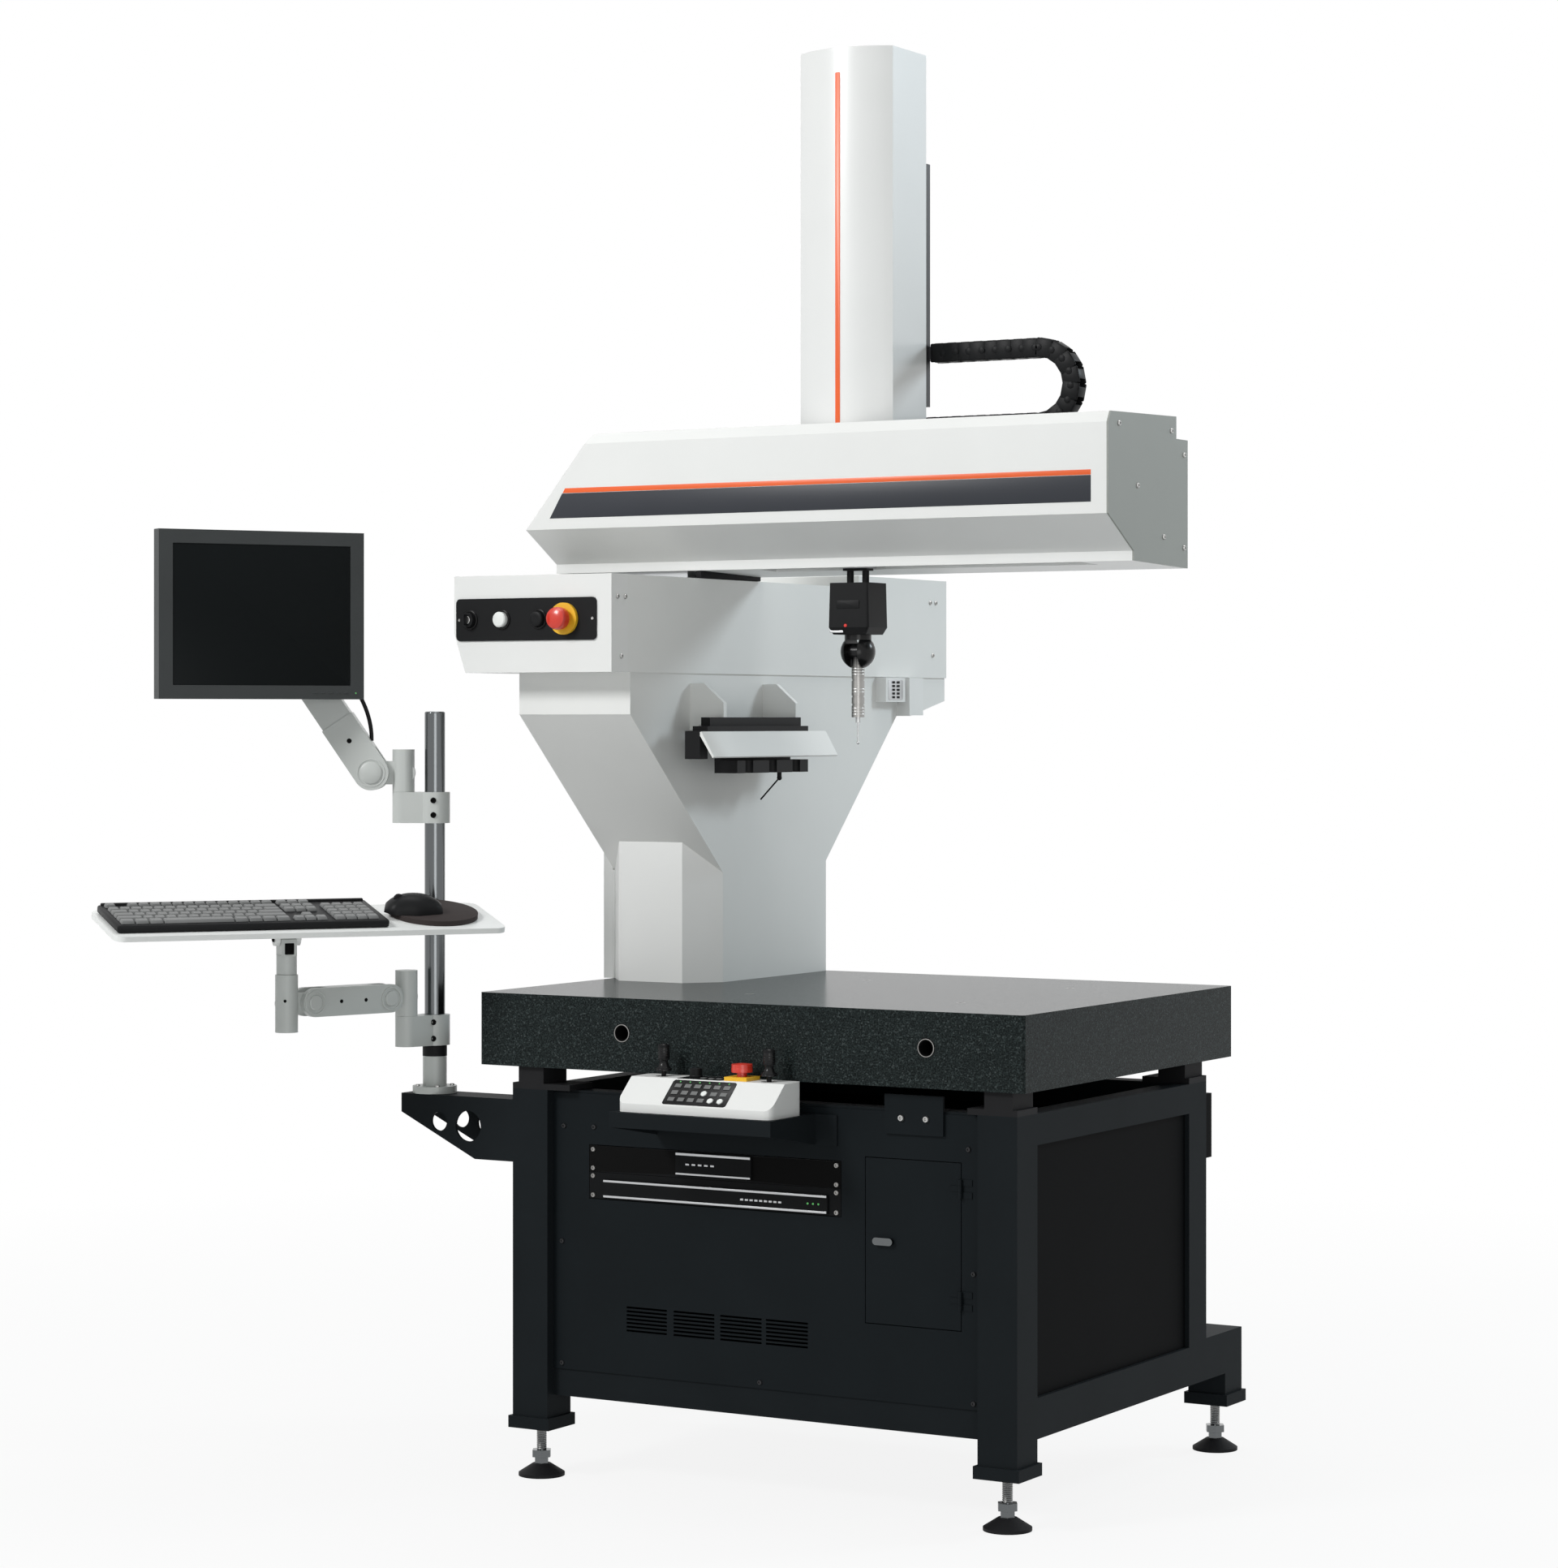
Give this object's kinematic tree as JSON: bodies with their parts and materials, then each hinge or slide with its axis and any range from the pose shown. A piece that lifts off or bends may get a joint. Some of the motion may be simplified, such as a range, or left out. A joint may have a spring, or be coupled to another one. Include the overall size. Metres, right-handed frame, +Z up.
{
  "type": "coordinate measuring machine",
  "caption": "Cantilever coordinate measuring machine with granite table, steel stand, motorised touch probe, joystick box and operator station on a pole.",
  "frame": {"origin": "middle of the footprint of the whole workstation, on the floor", "axes": "+X along the beam to the machine's right, +Y to the back, +Z up"},
  "size_m": [1.4968, 1.8071, 2.41],
  "materials": {
    "charcoal_frame": "satin",
    "black_panel": "satin",
    "rack_front": "satin",
    "pad_black": "matte",
    "zinc_steel": "satin",
    "granite": "polished",
    "white_paint": "satin",
    "white_cover": "satin",
    "grey_plate": "satin",
    "casting": "satin",
    "carriage_black": "satin",
    "black_plastic": "matte",
    "white_button": "gloss",
    "red_stop": "gloss",
    "yellow_collar": "satin",
    "probe_steel": "satin",
    "stylus_white": "gloss",
    "pole_chrome": "gloss",
    "arm_grey": "satin",
    "monitor_case": "matte",
    "tray_white": "satin"
  },
  "bodies": {
    "base": {"stand_frame": "charcoal_frame", "rubber_pads": "pad_black", "foot_studs": "zinc_steel", "front_panel": "black_panel", "rack_units": "rack_front", "cabinet_panels": "black_panel", "door_hinges": "black_panel", "joystick_shelf": "charcoal_frame", "joystick_box": "white_cover", "granite_table": "granite", "table_inserts": "zinc_steel", "column": "white_paint", "column_covers": "white_cover", "y_housing": "white_paint", "y_rails": "zinc_steel", "control_box": "white_cover", "control_plate": "black_plastic", "estop_collars": "yellow_collar", "remote_unit": "white_cover", "stylus_rack_mount": "white_paint", "stylus_rack": "black_plastic", "pole_bracket": "charcoal_frame", "pole": "pole_chrome", "pole_clamps": "arm_grey"},
    "door": {"access_door": "black_panel"},
    "latch": {"door_latch": "zinc_steel"},
    "left_gimbal": {"left_gimbal": "black_plastic"},
    "left_stick": {"left_stick": "black_plastic"},
    "right_stick": {"right_stick": "black_plastic"},
    "box_estop": {"box_estop": "red_stop"},
    "feed_knob": {"feed_knob": "black_plastic"},
    "key_switch": {"key_switch": "black_plastic"},
    "start_button": {"start_button": "white_button"},
    "black_button": {"black_button": "black_plastic"},
    "panel_estop": {"panel_estop": "red_stop"},
    "beam": {"beam": "casting", "beam_cover": "white_cover", "beam_end_plate": "grey_plate", "x_rails": "zinc_steel", "cable_chain": "black_plastic"},
    "carriage": {"x_carriage": "carriage_black", "tower_cover": "white_cover"},
    "ram": {"z_ram": "casting", "probe_head": "black_plastic"},
    "knuckle": {"head_knuckle": "black_plastic"},
    "probe": {"probe_body": "probe_steel", "stylus": "stylus_white"},
    "monitor_swivel": {"monitor_swivel": "arm_grey"},
    "monitor_arm": {"monitor_arm": "arm_grey", "monitor_lead": "black_plastic"},
    "monitor_head": {"monitor_head": "arm_grey"},
    "monitor_tilter": {"monitor_tilter": "arm_grey"},
    "monitor": {"monitor": "monitor_case"},
    "keyboard_swivel": {"keyboard_swivel": "arm_grey"},
    "keyboard_arm": {"keyboard_arm": "arm_grey"},
    "keyboard_post": {"keyboard_post": "arm_grey"},
    "tray_bracket": {"tray_bracket": "arm_grey"},
    "tray": {"keyboard_tray": "tray_white", "keyboard": "black_plastic"},
    "mouse": {"mouse": "black_plastic"}
  },
  "joints": [
    {"name": "y_axis", "type": "slide", "parent": "base", "child": "beam", "axis": [0, 1, 0], "range_m": [-0.2, 0.3]},
    {"name": "x_axis", "type": "slide", "parent": "beam", "child": "carriage", "axis": [1, 0, 0], "range_m": [-0.15, 0.41], "deforming": ["cable_chain"]},
    {"name": "z_axis", "type": "slide", "parent": "carriage", "child": "ram", "axis": [0, 0, 1], "range_m": [-0.41, 0]},
    {"name": "head_b", "type": "hinge", "parent": "ram", "child": "knuckle", "pos_m": [0.213, 0.054, 1.4], "axis": [0, 0, 1], "range_deg": [-180, 180]},
    {"name": "head_a", "type": "hinge", "parent": "knuckle", "child": "probe", "pos_m": [0.213, 0.054, 1.389], "axis": [-1, 0, 0], "range_deg": [0, 105]},
    {"name": "key_turn", "type": "hinge", "parent": "base", "child": "key_switch", "pos_m": [-0.361, -0.279, 1.443], "axis": [0, 1, 0], "range_deg": [0, 90]},
    {"name": "start_press", "type": "slide", "parent": "base", "child": "start_button", "axis": [0, 1, 0], "range_m": [0, 0.004], "stiffness_N_per_m": 600},
    {"name": "black_press", "type": "slide", "parent": "base", "child": "black_button", "axis": [0, 1, 0], "range_m": [0, 0.004], "stiffness_N_per_m": 600},
    {"name": "panel_stop_press", "type": "slide", "parent": "base", "child": "panel_estop", "axis": [0, 1, 0], "range_m": [0, 0.005], "stiffness_N_per_m": 1500},
    {"name": "box_stop_press", "type": "slide", "parent": "base", "child": "box_estop", "axis": [0, 0, -1], "range_m": [0, 0.004], "stiffness_N_per_m": 1500, "springref_m": -0.001},
    {"name": "left_stick_fore", "type": "hinge", "parent": "base", "child": "left_gimbal", "pos_m": [0.085, -0.364, 0.678], "axis": [1, 0, 0], "range_deg": [-18, 18], "stiffness_Nm_per_rad": 0.3},
    {"name": "left_stick_side", "type": "hinge", "parent": "left_gimbal", "child": "left_stick", "pos_m": [0.085, -0.364, 0.678], "axis": [0, 1, 0], "range_deg": [-18, 18], "stiffness_Nm_per_rad": 0.3},
    {"name": "right_stick_fore", "type": "hinge", "parent": "base", "child": "right_stick", "pos_m": [0.285, -0.364, 0.678], "axis": [1, 0, 0], "range_deg": [-18, 18], "stiffness_Nm_per_rad": 0.3},
    {"name": "feed_turn", "type": "hinge", "parent": "base", "child": "feed_knob", "pos_m": [0.147, -0.364, 0.692], "axis": [0, 0, 1], "range_deg": [-150, 150]},
    {"name": "door_swing", "type": "hinge", "parent": "base", "child": "door", "pos_m": [0.60175, -0.3075, 0.441], "axis": [0, 0, 1], "range_deg": [0, 110]},
    {"name": "latch_turn", "type": "hinge", "parent": "door", "child": "latch", "pos_m": [0.463, -0.304, 0.441], "axis": [0, 1, 0], "range_deg": [0, 90]},
    {"name": "monitor_swing", "type": "hinge", "parent": "base", "child": "monitor_swivel", "pos_m": [-0.4759, -0.31193, 1.18], "axis": [0, 0, 1], "range_deg": [-40, 40]},
    {"name": "monitor_lift", "type": "hinge", "parent": "monitor_swivel", "child": "monitor_arm", "pos_m": [-0.52219, -0.33975, 1.182], "axis": [-0.515, 0.8572, 0], "range_deg": [-45, 6]},
    {"name": "monitor_level", "type": "hinge", "parent": "monitor_arm", "child": "monitor_head", "pos_m": [-0.67648, -0.43245, 1.449], "axis": [-0.515, 0.8572, 0], "range_deg": [-6, 45]},
    {"name": "monitor_pan", "type": "hinge", "parent": "monitor_head", "child": "monitor_tilter", "pos_m": [-0.72962, -0.46439, 1.449], "axis": [0, 0, 1], "range_deg": [-45, 4]},
    {"name": "monitor_tilt", "type": "hinge", "parent": "monitor_tilter", "child": "monitor", "pos_m": [-0.68676, -0.49014, 1.449], "axis": [0.515, 0.8572, 0], "range_deg": [-20, 5]},
    {"name": "tray_swing", "type": "hinge", "parent": "base", "child": "keyboard_swivel", "pos_m": [-0.44654, -0.34406, 0.801], "axis": [0, 0, 1], "range_deg": [-60, 5]},
    {"name": "tray_lift", "type": "hinge", "parent": "keyboard_swivel", "child": "keyboard_arm", "pos_m": [-0.46045, -0.38686, 0.801], "axis": [-0.9511, 0.309, 0], "range_deg": [-30, 30]},
    {"name": "tray_level", "type": "hinge", "parent": "keyboard_arm", "child": "keyboard_post", "pos_m": [-0.50834, -0.53428, 0.801], "axis": [-0.9511, 0.309, 0], "range_deg": [-30, 30]},
    {"name": "tray_turn", "type": "hinge", "parent": "keyboard_post", "child": "tray_bracket", "pos_m": [-0.52225, -0.57707, 0.87], "axis": [0, 0, 1], "range_deg": [-60, 2]},
    {"name": "tray_tilt", "type": "hinge", "parent": "tray_bracket", "child": "tray", "pos_m": [-0.52225, -0.57707, 0.908], "axis": [0.5736, 0.8192, 0], "range_deg": [-12, 8]},
    {"name": "mouse_slide", "type": "slide", "parent": "tray", "child": "mouse", "axis": [0.5736, 0.8192, 0], "range_m": [-0.008, 0.05]}
  ],
  "couplings": [
    {"joint": "monitor_level", "follows": "monitor_lift", "ratio": -1},
    {"joint": "tray_level", "follows": "tray_lift", "ratio": -1}
  ]
}
